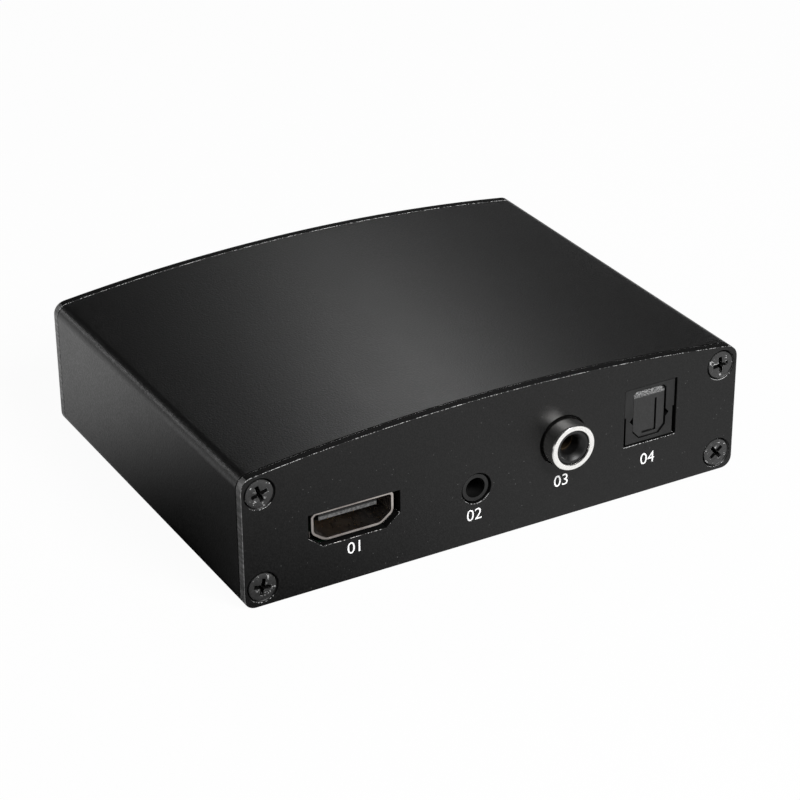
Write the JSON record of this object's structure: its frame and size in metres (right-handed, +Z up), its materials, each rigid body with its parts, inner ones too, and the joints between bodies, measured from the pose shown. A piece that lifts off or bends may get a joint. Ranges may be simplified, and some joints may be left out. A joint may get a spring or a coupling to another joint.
{
  "type": "hdmi audio extractor",
  "caption": "Black metal desktop box that splits the sound from a digital video link, with coaxial, optical and headphone outputs.",
  "frame": {"origin": "centre of the underside of the casing, not counting the parts that stand out of the end plates", "axes": "+X along the output plate, to the right when that plate is seen from outside; +Y from the output plate to the input plate; +Z up"},
  "size_m": [0.094, 0.0784, 0.0264],
  "materials": {
    "black_anodised_aluminium": "bead-blasted, black anodised, satin",
    "black_plate_aluminium": "black anodised, satin, bare at the chamfers",
    "blackened_steel": "black zinc, slightly worn",
    "green_circuit_board": "solder-masked glass epoxy",
    "nickel_sheet": "nickel plated sheet",
    "nickel_barrel": "polished nickel",
    "gold_contacts": "gold plated",
    "tinned_metal": "tin plated",
    "black_socket_plastic": "moulded black nylon",
    "dark_moulded_package": "matt epoxy",
    "red_lens": "tinted clear epoxy",
    "grey_ferrite": "pressed ferrite, matt",
    "copper_wire": "enamelled copper",
    "bare_aluminium_cans": "bright drawn aluminium",
    "tan_ceramic": "fired ceramic with tinned ends",
    "black_resistor": "glazed resistor with tinned ends"
  },
  "bodies": {
    "casing": {"casing_sleeve": "black_anodised_aluminium", "output_plate": "black_plate_aluminium", "input_plate": "black_plate_aluminium", "output_plate_screws": "blackened_steel", "input_plate_screws": "blackened_steel", "circuit_board": "green_circuit_board", "video_out_shell": "nickel_sheet", "video_out_insulator": "black_socket_plastic", "video_out_contacts": "gold_contacts", "video_in_shell": "nickel_sheet", "video_in_insulator": "black_socket_plastic", "video_in_contacts": "gold_contacts", "jack_body": "black_socket_plastic", "jack_springs": "tinned_metal", "coax_housing": "black_socket_plastic", "coax_barrel": "nickel_barrel", "coax_insulator": "black_socket_plastic", "coax_center_contact": "gold_contacts", "optical_housing": "black_socket_plastic", "optical_shutter_pin": "tinned_metal", "optical_shutter_spring": "tinned_metal", "optical_emitter": "dark_moulded_package", "power_jack_body": "black_socket_plastic", "power_jack_pin": "tinned_metal", "power_jack_spring": "tinned_metal", "switch_frame": "nickel_sheet", "switch_base": "black_socket_plastic", "switch_terminals": "tinned_metal", "power_light": "red_lens", "light_holder": "black_socket_plastic", "extractor_chip": "dark_moulded_package", "extractor_chip_leads": "tinned_metal", "sound_chip": "dark_moulded_package", "sound_chip_leads": "tinned_metal", "controller_chip": "dark_moulded_package", "controller_chip_leads": "tinned_metal", "voltage_regulator": "dark_moulded_package", "crystal": "tinned_metal", "power_inductor": "grey_ferrite", "inductor_winding": "copper_wire", "electrolytic_capacitors": "bare_aluminium_cans", "ceramic_capacitors": "tan_ceramic", "chip_resistors": "black_resistor"},
    "shutter": {"optical_shutter": "black_socket_plastic"},
    "knob": {"switch_knob": "black_socket_plastic", "switch_wiper": "gold_contacts"}
  },
  "joints": [
    {"name": "shutter_hinge", "type": "hinge", "parent": "casing", "child": "shutter", "pos_m": [0.02956, -0.03545, 0.01855], "axis": [1, 0, 0], "range_deg": [0, 85], "stiffness_Nm_per_rad": 0.0002, "springref_deg": -28.65, "deforming": ["optical_shutter_spring"]},
    {"name": "knob_slide", "type": "slide", "parent": "casing", "child": "knob", "axis": [1, 0, 0], "range_m": [-0.002, 0.002]}
  ]
}
